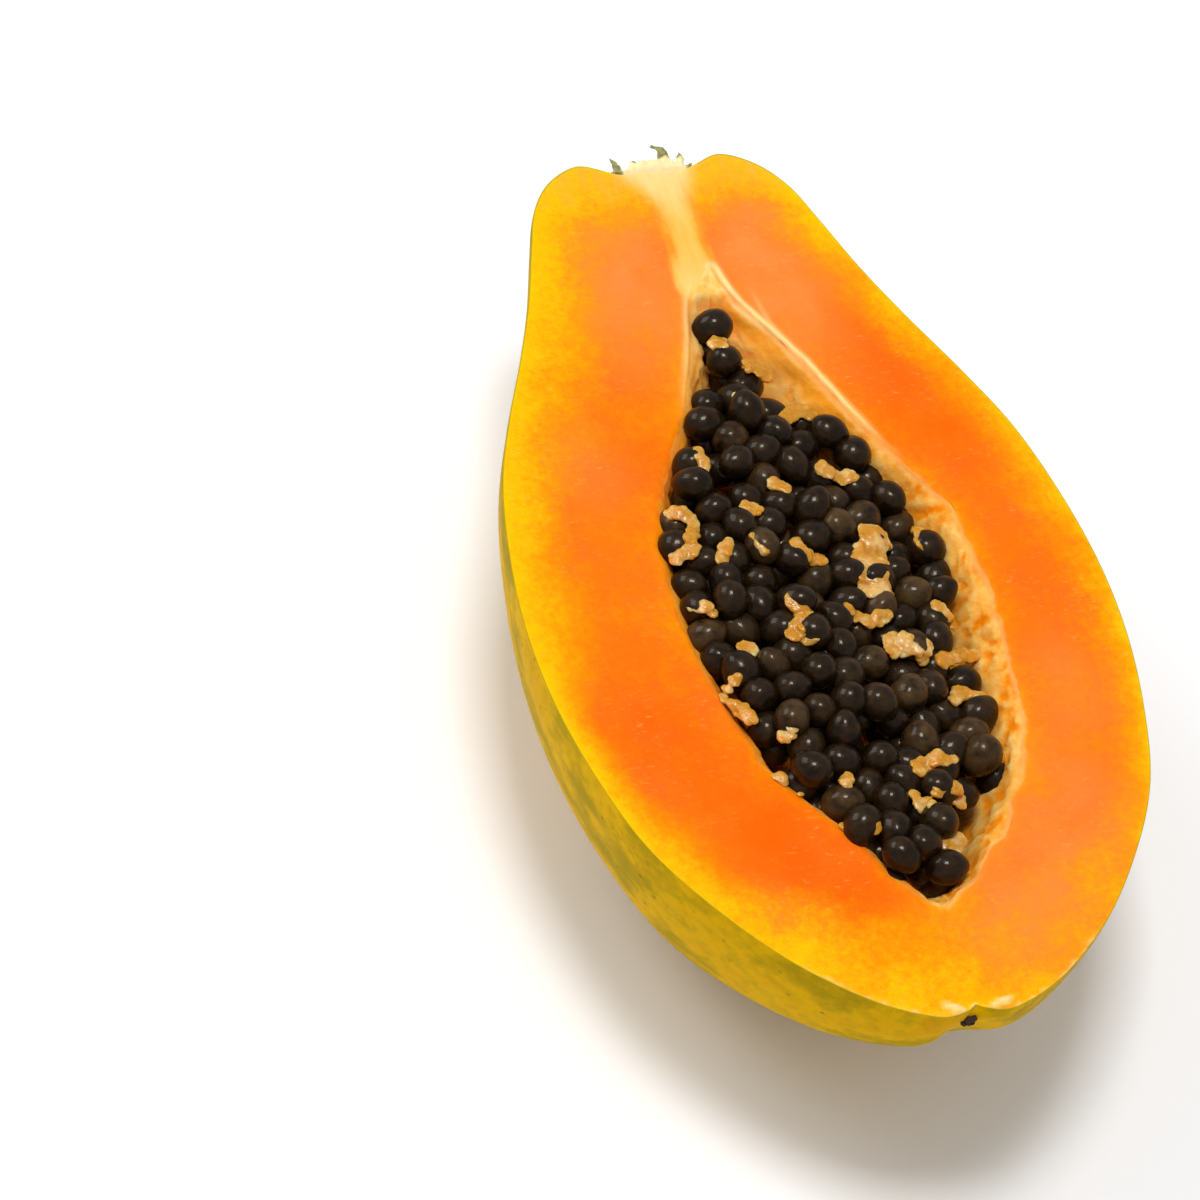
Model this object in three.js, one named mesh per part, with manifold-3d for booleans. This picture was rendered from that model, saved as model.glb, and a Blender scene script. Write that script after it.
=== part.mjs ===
// Half of a ripe papaya, cut from stem to blossom end and lying on its rounded back.
// Millimetres, +Z up, +Y towards the stem end. The cut face looks up.
// Inside this file the fruit is drawn with its cut face at z = 0, and a distance "along"
// is counted from the stem end towards the blossom end. The last lines stand it on z = 0.
import * as THREE from "three";
import { mergeVertices } from "three/addons/utils/BufferGeometryUtils.js";
import Module from "manifold-3d";

const wasm = await Module();
wasm.setup();

// Driving dimensions
const restDepth = 46.0; // from the cut face down to the small flat spot that it rests on
const clearance = 0.35; // between pieces that touch
const turnSteps = 52; // facets around the whole fruit
const profileSteps = 40; // facets from stem to blossom end
const ridgeCount = 5; // a papaya is faintly five-sided
const ridgeHeight = 0.009; // as a share of the radius

// The fruit's outline on the cut face: [radius, along], from the stem hollow to the blossom dimple.
const fruitOutline = [
  [0, 3.2],
  [5.2, 3.1],
  [7.6, 2.2],
  [12.3, 0.6],
  [17.8, 3.4],
  [21.8, 8.6],
  [24.4, 15.5],
  [28.0, 26],
  [32.4, 36.5],
  [38.0, 48.5],
  [42.6, 60],
  [45.6, 73],
  [47.3, 87],
  [47.1, 101],
  [44.9, 115],
  [41.0, 128.5],
  [34.6, 140],
  [25.6, 151.5],
  [15.6, 160],
  [7.6, 164],
  [3.0, 164.6],
  [0, 163.2],
];

// The seed cavity where the cut opens it: [along, half width, middle's shift across].
const cavityOutline = [
  [23.5, 0.4, 3.0],
  [29, 3.0, 1.6],
  [38, 6.8, 2.6],
  [46, 10.2, 3.0],
  [53, 13.0, 2.8],
  [60, 17.0, 2.0],
  [68, 21.4, 2.4],
  [77, 24.2, 2.8],
  [87, 24.8, 2.6],
  [98, 24.6, 2.6],
  [108, 22.8, 2.8],
  [117, 21.0, 3.0],
  [125, 16.8, 3.8],
  [133, 11.2, 3.6],
  [140, 6.4, 2.2],
  [146, 0.5, 0.8],
];
const cavityDepthShare = 0.95; // depth over half width
const cavityFlare = 0.9; // 0.5 would be half an ellipse; more leans the wall out towards the rim
const cavitySteps = 36;
const cavityTurnSteps = 18;
const cavityTop = 7; // how far the cutting shape stands above the face
const narrowest = 0.15; // half width at the cavity's tips
const wallLump = 1.0; // the most that the wall's lumps stand in
const wallLumpShare = 0.3; // and the most as a share of the half width

// The seeds
const seedAcross = 5.7;
const seedLong = 6.6;
const smallestSeed = 0.92; // as a share of the sizes above
const seedSizeRange = 0.16;
const seedTilt = 0.9; // radians, at most, out of level
const seedSpacing = 5.4;
const rowSpacing = 5.0;
const sparser = 0.5; // the rows start farther apart by this share, over the first sparseLength
const sparseLength = 22;
const seedJitter = 3.4;
const seedLift = 1.0; // the most that a seed lies above the heap's surface
const seedSink = 3.0; // and the most that it lies below
const seedGap = 5.1; // the seeds' middles keep about this far apart
const seedRounds = 8;
const firstDraw = 365;

// The heap that they lie in is higher on its left, and falls to the right and at both ends.
// Its outline is where the outermost seeds' middles lie: [along, left, right].
const heapOutline = [
  [33, -0.6, 0.0],
  [38, -1.8, 0.5],
  [43, -3.0, 1.4],
  [48, -4.8, 5.0],
  [54, -7.8, 9.6],
  [60, -11.8, 15.2],
  [66, -15.4, 17.8],
  [73, -18.2, 20.0],
  [80, -19.9, 22.4],
  [86, -20.2, 22.0],
  [92, -19.2, 18.6],
  [99, -18.0, 18.8],
  [107, -15.8, 20.2],
  [114, -14.4, 20.0],
  [120, -12.2, 16.2],
  [127, -8.8, 9.8],
  [134, -4.8, 5.2],
  [142, 1.0, 3.6],
];
const heapMiddle = 88;
const heapTop = 0.3; // height of the seeds' middles over the cut face, in the middle
const heapLean = 0.15; // fall to the right for each millimetre
const heapCrown = 0.0055; // fall for each square millimetre from the middle line
const heapEndFall = 2.0;
const heapFallLength = 60; // from the middle to where it has fallen by heapEndFall
const heapSink = 1.9; // the core under the seeds lies this far below their middles
const coreMargin = 0.6; // from the outermost seeds' middles out to the core's sides
const coreGap = 1.5; // over the cavity's floor
const coreSteps = 16;
const coreTurnSteps = 8;
const coreThinnest = 0.6;
const coreEnds = 1; // the core stops this far short of the heap's ends

const smoothCurve = (points, steps) =>
  new THREE.SplineCurve(points.map(([x, y]) => new THREE.Vector2(x, y))).getPoints(steps);

// Straight-line reading of a list of [place, value], after a spline has been drawn through it.
function lookUp(points) {
  const drawn = smoothCurve(points, 16 * points.length);
  return (place) => {
    let i = 1;
    while (i < drawn.length - 1 && drawn[i].x < place) i++;
    const [a, b] = [drawn[i - 1], drawn[i]];
    const share = Math.min(1, Math.max(0, (place - a.x) / (b.x - a.x)));
    return a.y + (b.y - a.y) * share;
  };
}
const cavityHalfWidth = lookUp(cavityOutline.map(([along, half]) => [along, half]));
const cavityShift = lookUp(cavityOutline.map(([along, , shift]) => [along, shift]));
const heapLeft = lookUp(heapOutline.map(([along, left]) => [along, left]));
const heapRight = lookUp(heapOutline.map(([along, , right]) => [along, right]));
const heapStart = heapOutline[0][0];
const heapEnd = heapOutline.at(-1)[0];

// A seeded random draw, from 0 to 1.
function randomFrom(seed) {
  let state = seed;
  return () => {
    state = (state + 0x6d2b79f5) | 0;
    let t = Math.imul(state ^ (state >>> 15), 1 | state);
    t = (t + Math.imul(t ^ (t >>> 7), 61 | t)) ^ t;
    return ((t ^ (t >>> 14)) >>> 0) / 4294967296;
  };
}

// A closed geometry as a solid that can be cut and joined.
function solidOf(geometry) {
  const bare = new THREE.BufferGeometry().setAttribute("position", geometry.getAttribute("position"));
  if (geometry.index) bare.setIndex(geometry.index);
  const merged = mergeVertices(bare, 1e-4);
  const kept = [];
  const index = merged.index.array;
  for (let i = 0; i < index.length; i += 3) {
    const [a, b, c] = [index[i], index[i + 1], index[i + 2]];
    if (a !== b && b !== c && c !== a) kept.push(a, b, c);
  }
  const vertProperties = merged.attributes.position.array;
  const solid = new wasm.Manifold(
    new wasm.Mesh({ numProp: 3, vertProperties, triVerts: new Uint32Array(kept) }),
  );
  if (solid.volume() > 0) return solid;
  const turned = kept.map((_, i) => kept[i - (i % 3) + ((3 - (i % 3)) % 3)]);
  return new wasm.Manifold(
    new wasm.Mesh({ numProp: 3, vertProperties, triVerts: new Uint32Array(turned) }),
  );
}

// A solid back as a geometry.
function geometryOf(solid) {
  const mesh = solid.getMesh();
  const positions = new Float32Array(mesh.numVert * 3);
  for (let i = 0; i < mesh.numVert; i++) {
    for (let k = 0; k < 3; k++) positions[i * 3 + k] = mesh.vertProperties[i * mesh.numProp + k];
  }
  const geometry = new THREE.BufferGeometry();
  geometry.setAttribute("position", new THREE.BufferAttribute(positions, 3));
  geometry.setIndex(new THREE.BufferAttribute(mesh.triVerts, 1));
  geometry.computeVertexNormals();
  return geometry;
}

// The biggest body of a solid, without loose scraps.
function biggest(solid) {
  return solid.decompose().sort((a, b) => b.volume() - a.volume())[0];
}

const joined = (solids) => solids.reduce((sum, next) => sum.add(next));

// A box between two corners.
function block(low, high) {
  const size = new THREE.Vector3().subVectors(high, low);
  const middle = new THREE.Vector3().addVectors(low, high).multiplyScalar(0.5);
  return solidOf(new THREE.BoxGeometry(size.x, size.y, size.z).translate(middle.x, middle.y, middle.z));
}

// A closed skin over rings of points that all have the same count.
function loft(rings) {
  const around = rings[0].length;
  const positions = rings.flat().flatMap((p) => [p.x, p.y, p.z]);
  const index = [];
  for (let i = 0; i < rings.length - 1; i++) {
    for (let j = 0; j < around; j++) {
      const next = (j + 1) % around;
      const [a, b] = [i * around + j, i * around + next];
      index.push(a, b, a + around, b, b + around, a + around);
    }
  }
  const last = (rings.length - 1) * around;
  for (let j = 1; j < around - 1; j++) {
    index.push(0, j + 1, j, last, last + j, last + j + 1);
  }
  const geometry = new THREE.BufferGeometry();
  geometry.setAttribute("position", new THREE.Float32BufferAttribute(positions, 3));
  geometry.setIndex(index);
  return solidOf(geometry);
}

// The whole fruit as it grew, faintly ridged, before the knife.
function wholeFruit() {
  const profile = smoothCurve(
    fruitOutline.map(([radius, along]) => [radius, -along]),
    profileSteps,
  );
  profile[0].x = 0;
  profile[profile.length - 1].x = 0;
  const geometry = new THREE.LatheGeometry(profile, turnSteps);
  const place = geometry.getAttribute("position");
  for (let i = 0; i < place.count; i++) {
    const turn = Math.atan2(-place.getZ(i), place.getX(i));
    const swell = 1 - ridgeHeight * Math.sin(ridgeCount * turn);
    place.setX(i, place.getX(i) * swell);
    place.setZ(i, place.getZ(i) * swell);
  }
  return solidOf(geometry);
}

// How far the cavity's wall stands in, as low lumps and ridges of soft tissue.
function wallRelief(turn, along) {
  const lumps = 0.55 * Math.sin(0.62 * along + 3 * turn) + 0.45 * Math.sin(0.44 * along - 4 * turn + 1);
  return lumps * Math.sin(turn);
}

// The shape of the seed cavity, made smaller by inset, and open upwards.
function cavity(inset) {
  const [start, end] = [cavityOutline[0][0], cavityOutline.at(-1)[0]];
  const rings = [];
  for (let i = 0; i <= cavitySteps; i++) {
    const along = start + ((end - start) * i) / cavitySteps;
    const half = Math.max(narrowest, cavityHalfWidth(along) - inset);
    const lump = Math.min(wallLumpShare * half, wallLump);
    const shift = cavityShift(along);
    const ring = [new THREE.Vector3(shift + half, -along, cavityTop)];
    for (let j = 0; j <= cavityTurnSteps; j++) {
      const turn = (Math.PI * j) / cavityTurnSteps;
      const reach = half - lump * wallRelief(turn, along);
      const depth = reach * cavityDepthShare * Math.sin(turn) ** (2 * cavityFlare);
      ring.push(new THREE.Vector3(shift + reach * Math.cos(turn), -along, -depth));
    }
    ring.push(new THREE.Vector3(shift - half, -along, cavityTop));
    rings.push(ring);
  }
  return loft(rings);
}

// Depth of the cavity's floor below the cut face.
function floorDepth(across, along) {
  const half = cavityHalfWidth(along);
  const share = Math.min(1, Math.abs(across - cavityShift(along)) / half);
  return half * cavityDepthShare * (1 - share * share) ** cavityFlare;
}

// Height of the seeds' middles over the cut face.
function heapHeight(across, along) {
  const x = across - cavityShift(along);
  const towardsEnd = (along - heapMiddle) / heapFallLength;
  return heapTop - heapLean * x - heapCrown * x * x - heapEndFall * towardsEnd ** 4;
}

// Keeps a place inside the heap's outline.
function heldInHeap(seed) {
  seed.along = Math.min(heapEnd, Math.max(heapStart, seed.along));
  seed.across = Math.min(heapRight(seed.along), Math.max(heapLeft(seed.along), seed.across));
  seed.height = heapHeight(seed.across, seed.along) + seed.lift;
}

// Seeds in staggered rows, jittered by seeded draws and then pushed apart where they crowd.
function layOutSeeds() {
  const random = randomFrom(firstDraw);
  const seeds = [];
  for (let row = 0, along = heapStart; along <= heapEnd; row++) {
    const [left, right] = [heapLeft(along), heapRight(along)];
    const count = 1 + Math.round((right - left) / seedSpacing - (row % 2 ? 0.3 : 0));
    for (let k = 0; k < count; k++) {
      const share = count > 1 ? k / (count - 1) : 0.5;
      const seed = {
        along: along + seedJitter * (2 * random() - 1),
        across: left + (right - left) * share + seedJitter * (2 * random() - 1),
        lift: seedLift - (seedLift + seedSink) * random(),
        turn: 2 * Math.PI * random(),
        tilt: seedTilt * (2 * random() - 1),
        size: smallestSeed + seedSizeRange * random(),
      };
      heldInHeap(seed);
      seeds.push(seed);
    }
    along += rowSpacing * (1 + sparser * (1 - THREE.MathUtils.smoothstep(along, heapStart, heapStart + sparseLength)));
  }
  for (let round = 0; round < seedRounds; round++) {
    for (let i = 0; i < seeds.length; i++) {
      for (let j = i + 1; j < seeds.length; j++) {
        const [a, b] = [seeds[i], seeds[j]];
        const dx = b.across - a.across;
        const dy = b.along - a.along;
        const dz = b.height - a.height;
        const apart = Math.sqrt(dx * dx + dy * dy + dz * dz);
        if (apart >= seedGap) continue;
        const push = (seedGap - apart) / 2 / Math.max(0.5, Math.sqrt(dx * dx + dy * dy));
        a.across -= dx * push;
        a.along -= dy * push;
        b.across += dx * push;
        b.along += dy * push;
      }
    }
    seeds.forEach(heldInHeap);
  }
  return seeds;
}

// One seed, a little longer than wide, grown by extra on every side.
function seedSolid(seed, extra) {
  const half = (width) => (width * seed.size) / 2 + extra;
  const geometry = new THREE.OctahedronGeometry(1, 1);
  geometry.scale(half(seedLong), half(seedAcross), half(seedAcross));
  geometry.rotateY(seed.tilt);
  geometry.rotateZ(seed.turn);
  geometry.translate(seed.across, -seed.along, seed.height);
  return solidOf(geometry);
}

// The packed inside of the heap, which the seeds stand out of, made smaller by inset.
function heapCore(inset) {
  const [start, end] = [heapStart + coreEnds, heapEnd - coreEnds];
  const rings = [];
  for (let i = 0; i <= coreSteps; i++) {
    const along = start + ((end - start) * i) / coreSteps;
    const middle = (heapLeft(along) + heapRight(along)) / 2;
    const half = (heapRight(along) - heapLeft(along)) / 2 + coreMargin - inset;
    const top = (across) => heapHeight(across, along) - heapSink - inset;
    const ring = [];
    for (let j = 0; j <= coreTurnSteps; j++) {
      const across = middle + half * Math.cos((Math.PI * j) / coreTurnSteps);
      const floor = coreGap + inset - floorDepth(across, along);
      ring.push(new THREE.Vector3(across, -along, Math.min(floor, top(across) - coreThinnest)));
    }
    for (let j = 1; j < coreTurnSteps; j++) {
      const across = middle - half + (2 * half * j) / coreTurnSteps;
      ring.push(new THREE.Vector3(across, -along, top(across)));
    }
    rings.push(ring);
  }
  return loft(rings);
}

// Everything between two heights.
const everywhere = 200;
const layer = (bottom, top) =>
  block(new THREE.Vector3(-everywhere, -2 * everywhere, bottom), new THREE.Vector3(everywhere, everywhere, top));

// Pale tissue torn loose, lying in the dips between seeds: [across, along, length, width, turn].
const pulpHalfThickness = 1.5;
const pulpHeight = 2.2; // over the seeds' middles
const tornPulp = [
  [10.7, 83.3, 14.4, 5.4, 1.24],
  [11.1, 99.0, 9.0, 3.7, -0.43],
  [10.9, 65.5, 6.6, 2.2, -0.22],
  [-6.2, 93.4, 8.6, 4.2, 1.35],
  [-0.1, 81.7, 6.2, 3.4, -0.57],
  [7.3, 121.5, 9.0, 3.6, 0.26],
  [6.3, 127.4, 9.0, 4.2, 0.04],
  [-7.9, 130.6, 6.5, 2.4, -0.36],
];

function tornPulpSolid([across, along, length, width, turn], keepOut) {
  const geometry = new THREE.IcosahedronGeometry(1, 1);
  const place = geometry.getAttribute("position");
  for (let i = 0; i < place.count; i++) {
    const [x, y, z] = [place.getX(i), place.getY(i), place.getZ(i)];
    const ragged = 1 + 0.16 * Math.sin(4 * x + 3 * y + along) + 0.12 * Math.sin(6 * y - 5 * x + across);
    place.setXYZ(i, (x * ragged * length) / 2, (y * ragged * width) / 2, z * pulpHalfThickness);
  }
  geometry.rotateZ(turn);
  geometry.translate(across, -along, heapHeight(across, along) + pulpHeight);
  return biggest(solidOf(geometry).subtract(keepOut));
}

// What is left of the stalk: a low pale dome, torn, with dry scales round it.
// Its outline is [radius, along], like the fruit's.
const stubOutline = [
  [0, -1.0],
  [2.4, -0.7],
  [4.2, 0.2],
  [5.8, 1.1],
  [6.7, 2.1],
  [6.4, 2.7],
  [0, 2.7],
];
const scaleRing = 5.7; // radius at which the scales stand
const scaleFoot = 1.6; // along
const scaleRoot = 0.8; // how deep the scales are set in the dome
const stubScales = [
  [0.1, 2.4, 3.4, 0.75],
  [0.62, 1.8, 3.0, 0.45],
  [1.1, 2.2, 3.6, 0.7],
  [1.7, 1.7, 2.8, 0.4],
  [2.2, 2.3, 3.5, 0.65],
  [2.75, 1.9, 3.1, 0.5],
  [3.08, 2.2, 3.3, 0.8],
]; // [turn round the stub, width, length, lean outwards]
const tornTips = [
  [2.0, -1.3, 2.3, 3.6, -0.35],
  [-1.6, -1.1, 1.6, 1.9, 0.3],
  [-0.2, -3.0, 1.8, 2.4, 0.1],
]; // [across, height, width, length, lean across]
const tipFoot = 0.6; // where they leave the dome, beyond the stem end

function stalkStub(fruitGrown) {
  const profile = stubOutline.map(([radius, along]) => new THREE.Vector2(radius, -along));
  const pieces = [solidOf(new THREE.LatheGeometry(profile, 22))];
  for (const [turn, width, length, lean] of stubScales) {
    const scale = new THREE.ConeGeometry(width / 2, length, 5);
    scale.scale(1, 1, 0.5);
    scale.translate(0, length / 2 - scaleRoot, 0);
    scale.rotateX(lean);
    scale.rotateY(turn + Math.PI / 2);
    scale.translate(Math.cos(turn) * scaleRing, -scaleFoot, -Math.sin(turn) * scaleRing);
    pieces.push(solidOf(scale));
  }
  for (const [across, height, width, length, lean] of tornTips) {
    const tip = new THREE.ConeGeometry(width / 2, length, 5);
    tip.scale(1, 1, 0.6);
    tip.translate(0, length / 2 - scaleRoot, 0);
    tip.rotateZ(lean);
    tip.translate(across, tipFoot, height);
    pieces.push(solidOf(tip));
  }
  return biggest(joined(pieces).intersect(layer(-everywhere, 0)).subtract(fruitGrown));
}

// The dried end of the flower, a dark five-lobed crumb in the dimple at the blossom end.
const scarPlace = [-0.6, -163.7, -2.5]; // across, minus along, height
const scarRing = 0.86; // radius at which the lobes stand
const lobeRadius = 0.58;
const lobeCount = 5;
const scarPitRadius = 1.85;
function blossomScar() {
  const lobes = [new THREE.IcosahedronGeometry(scarRing, 0)];
  for (let k = 0; k < lobeCount; k++) {
    const turn = (2 * Math.PI * (k + 0.3)) / lobeCount;
    const lobe = new THREE.IcosahedronGeometry(lobeRadius, 0);
    lobe.translate(Math.cos(turn) * scarRing, 0, Math.sin(turn) * scarRing);
    lobes.push(lobe);
  }
  return joined(lobes.map(solidOf)).translate(scarPlace);
}

// The fruit is one grown piece, skin and flesh: cut in half, flattened a little where it rests,
// and hollow where the seeds grew.
const fruit = wholeFruit();
const scarPit = solidOf(new THREE.IcosahedronGeometry(scarPitRadius, 1)).translate(scarPlace);
const fruitHalf = biggest(fruit.intersect(layer(-restDepth, 0)).subtract(cavity(0)).subtract(scarPit));
const fruitGrown = fruit.scale([1.012, 1, 1.012]).translate([0, clearance, 0]);

const seeds = layOutSeeds();
const wallAndFace = layer(-everywhere, clearance).subtract(cavity(clearance));
const seedHeap = biggest(
  joined([heapCore(0), ...seeds.map((seed) => seedSolid(seed, 0))]).subtract(wallAndFace),
);
const seedsGrown = joined([heapCore(-clearance), ...seeds.map((seed) => seedSolid(seed, clearance))]);
const keepOut = seedsGrown.add(wallAndFace);

const group = new THREE.Group();
const standing = new THREE.Group();
group.add(standing);

function addPiece(name, piece, colour, roughness) {
  const material = new THREE.MeshStandardMaterial({ color: colour, roughness, metalness: 0 });
  const mesh = new THREE.Mesh(geometryOf(piece), material);
  mesh.name = name;
  standing.add(mesh);
}

addPiece("fruit_half", fruitHalf, 0xf58a1e, 0.45);
addPiece("seeds", seedHeap, 0x2a1f19, 0.25);
tornPulp.forEach((shred, i) =>
  addPiece(`torn_pulp_${i + 1}`, tornPulpSolid(shred, keepOut), 0xe8b062, 0.4),
);
addPiece("stalk_stub", stalkStub(fruitGrown), 0xe2d59a, 0.8);
addPiece("blossom_scar", blossomScar(), 0x2e1a10, 0.9);

// Stood on its flat spot, with the middle of its length and width over the origin.
const bounds = new THREE.Box3().setFromObject(standing);
const middle = bounds.getCenter(new THREE.Vector3());
standing.position.set(-middle.x, -middle.y, restDepth);

export default group;
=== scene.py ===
import math

import bmesh
import bpy
from mathutils import Matrix, Vector, noise
from mathutils.kdtree import KDTree


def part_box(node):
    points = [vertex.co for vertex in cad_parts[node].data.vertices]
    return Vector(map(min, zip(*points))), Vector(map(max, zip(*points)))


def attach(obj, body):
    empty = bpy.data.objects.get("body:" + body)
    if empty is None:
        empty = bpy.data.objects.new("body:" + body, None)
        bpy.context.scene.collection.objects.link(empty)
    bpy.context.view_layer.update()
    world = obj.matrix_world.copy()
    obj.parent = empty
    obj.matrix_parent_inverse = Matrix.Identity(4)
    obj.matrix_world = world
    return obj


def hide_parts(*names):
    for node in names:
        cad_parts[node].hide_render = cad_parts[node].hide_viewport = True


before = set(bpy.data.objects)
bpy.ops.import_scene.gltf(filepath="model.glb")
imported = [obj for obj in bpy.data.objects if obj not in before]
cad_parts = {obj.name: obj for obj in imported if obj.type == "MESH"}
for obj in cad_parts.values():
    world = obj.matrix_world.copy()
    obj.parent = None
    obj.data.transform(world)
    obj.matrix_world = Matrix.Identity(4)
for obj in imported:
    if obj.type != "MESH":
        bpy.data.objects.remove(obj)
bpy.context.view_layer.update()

# Half of a ripe papaya. Lengths are in millimetres until a mesh is made.
# "across" is the row's X, "along" counts from the stem end to the blossom end, height is over the cut face.
fruitLow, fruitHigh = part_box("fruit_half")
mm = 0.001
faceHeight = fruitHigh.z / mm
print("papaya: frame loaded, cut face at", round(faceHeight, 2), "mm")


# Curves and draws, the same as those that the solids were made with

def drawnThrough(points, steps):
    # A smooth line through the points: each stretch leaves a point along the line between its neighbours.
    last = len(points) - 1
    line = []
    for k in range(steps + 1):
        place = last * k / steps
        i = min(int(place), last)
        w = place - i
        four = [points[max(i - 1, 0)], points[i], points[min(i + 1, last)], points[min(i + 2, last)]]
        line.append(tuple(smoothStep4(*(p[axis] for p in four), w) for axis in range(len(points[0]))))
    return line


def smoothStep4(before, start, end, after, w):
    leave = (end - before) / 2
    arrive = (after - start) / 2
    cube = 2 * start - 2 * end + leave + arrive
    square = 3 * end - 3 * start - 2 * leave - arrive
    return ((cube * w + square) * w + leave) * w + start


def lookUp(pairs):
    line = drawnThrough(pairs, 16 * len(pairs))

    def read(place):
        i = 1
        while i < len(line) - 1 and line[i][0] < place:
            i += 1
        (x0, y0), (x1, y1) = line[i - 1], line[i]
        return y0 + (y1 - y0) * min(1, max(0, (place - x0) / (x1 - x0)))

    # Read once every fifth of a millimetre, because it is asked for very often
    low, high = pairs[0][0], pairs[-1][0]
    fine = 5
    table = [read(low + k / fine) for k in range(int((high - low) * fine) + 2)]

    def quickRead(place):
        at = min(max(place - low, 0) * fine, len(table) - 1.001)
        k = int(at)
        return table[k] + (table[k + 1] - table[k]) * (at - k)

    return quickRead


def randomFrom(seed):
    # A seeded draw from 0 to 1, worked out on 32-bit numbers.
    state = [seed]
    full = 0xFFFFFFFF

    def draw():
        state[0] = (state[0] + 0x6D2B79F5) & full
        t = state[0]
        t = ((t ^ (t >> 15)) * (1 | t)) & full
        t = ((t + (((t ^ (t >> 7)) * (61 | t)) & full)) & full) ^ t
        return ((t ^ (t >> 14)) & full) / 4294967296

    return draw


def eased(value, low=0.0, high=1.0):
    share = min(1, max(0, (value - low) / (high - low)))
    return share * share * (3 - 2 * share)


def rough(x, y, z, size, octaves=3):
    # Soft cloudy noise from about -1 to 1, with lumps of the given size.
    return noise.fractal(Vector((x / size, y / size, z / size)), 0.9, 2.1, octaves)


# Fruit: skin and flesh as it grew, cut through its axis

fruit = {
    "outline": [(0, 3.2), (5.2, 3.1), (7.6, 2.2), (12.3, 0.6), (17.8, 3.4), (21.8, 8.6), (24.4, 15.5),
                (28.0, 26), (32.4, 36.5), (38.0, 48.5), (42.6, 60), (45.6, 73), (47.3, 87), (47.1, 101),
                (44.9, 115), (41.0, 128.5), (34.6, 140), (25.6, 151.5), (15.6, 160), (7.6, 164),
                (3.0, 164.6), (0, 163.2)],      # (radius, along)
    "ridges": 5,
    "ridgeHeight": 0.009,       # share of the radius
    "rows": 231,                # along
    "turns": 120,               # round the skin, from rim to rim
    "faceRows": 30,             # from the rim to the cavity
    "faceWave": 0.12,           # the knife's cut isn't quite level
    "edgeRound": 0.45,
    "edgeWidth": 1.7,
    "tear": 1.3,                # how far the cavity's edge is torn to either side
    "foldDepth": 2.3,           # of the fold that runs down from the flower scar
    "slimmer": 0.9992,          # keeps the smooth skin inside the faceted solid's box
    "ridge": 0.24,              # height of the pale strings along the cavity's right edge
    "curls": [(-3.6, 163.3, 2.2, 0.8, 0.5), (3.9, 163.4, 2.4, 0.7, -0.25)],    # lips that the knife turned up
}
cavity = {
    "outline": [(23.5, 0.4, 3.0), (29, 3.0, 1.6), (38, 6.8, 2.6), (46, 10.2, 3.0), (53, 13.0, 2.8),
                (60, 17.0, 2.0), (68, 21.4, 2.4), (77, 24.2, 2.8), (87, 24.8, 2.6), (98, 24.6, 2.6),
                (108, 22.8, 2.8), (117, 21.0, 3.0), (125, 16.8, 3.8), (133, 11.2, 3.6), (140, 6.4, 2.2),
                (146, 0.5, 0.8)],               # (along, half width, shift across)
    "depthShare": 0.95,
    "flare": 0.9,
    "turns": 132,
    "clumpHeight": 1.0,         # soft tissue left on the wall
    "clumpSize": 4.4,
    "tipLength": 0.9,           # the cavity closes to a point over this length
    "webEnd": 30.4,             # up to here, torn pale tissue covers its upper tip
}
halfWidth = lookUp([(along, half) for along, half, shift in cavity["outline"]])
middleShift = lookUp([(along, shift) for along, half, shift in cavity["outline"]])
profile = drawnThrough(fruit["outline"], fruit["rows"])
stemEnd = fruitLow.y / mm + max(along for radius, along in profile)    # row Y where along is 0


def inRow(point):
    across, along, height = point
    return Vector((across, stemEnd - along, faceHeight + height)) * mm


def skinPoint(row, turn):
    radius, along = profile[row]
    radius *= fruit["slimmer"] - fruit["ridgeHeight"] * math.sin(fruit["ridges"] * turn)
    height = -radius * math.sin(turn)
    over = height + faceHeight      # the spot that it rests on is pressed flat, with a soft edge
    if over < 1:
        height = -faceHeight + max(0, over + 0.25) ** 2 * 0.64 if over > -0.25 else -faceHeight
    across = radius * math.cos(turn)
    if along > 140:
        side = across + 1.4 + 0.2 * height
        deep = fruit["foldDepth"] * math.exp(-(side / (5.0 if side > 0 else 3.6)) ** 2)
        deep *= eased(-height, 0.5, 7) * (1 - eased(-height, 13, 26))
        along, height = along - 0.9 * deep, height + 0.4 * deep
    return across, along, height


def wallPoint(along, turn):
    half, shift = halfWidth(along), middleShift(along)
    low = 0.55 * math.sin(0.62 * along + 3 * turn) + 0.45 * math.sin(0.44 * along - 4 * turn + 1)
    fromTip = min(along - cavity["outline"][0][0], cavity["outline"][-1][0] - along) / cavity["tipLength"]
    reach = (half - min(0.3 * half, 1) * low * math.sin(turn)) * math.sqrt(min(1, max(0, fromTip)))
    depth = reach * cavity["depthShare"] * math.sin(turn) ** (2 * cavity["flare"])
    return shift + reach * math.cos(turn), along, -depth


def clumps(across, along, height):
    # Torn seed strings on the wall: crooked folds with soft lumps between them.
    size = cavity["clumpSize"]
    place = Vector((across / size, along / size * 0.8, height / size * 0.8))
    place += 0.6 * noise.noise_vector(place * 0.9)
    near = noise.voronoi(place)[0]
    lump = eased(near[1] - near[0], 0.0, 0.7)
    crease = 1 - min(1, 2.2 * abs(noise.fractal(place * 1.1 + Vector((7, 3, 1)), 0.8, 2.1, 3)))
    return min(1, 0.3 * lump + 0.42 * crease + 0.35 * (0.5 + 0.6 * rough(across, along, height + 40, 1.7, 3)))


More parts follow.
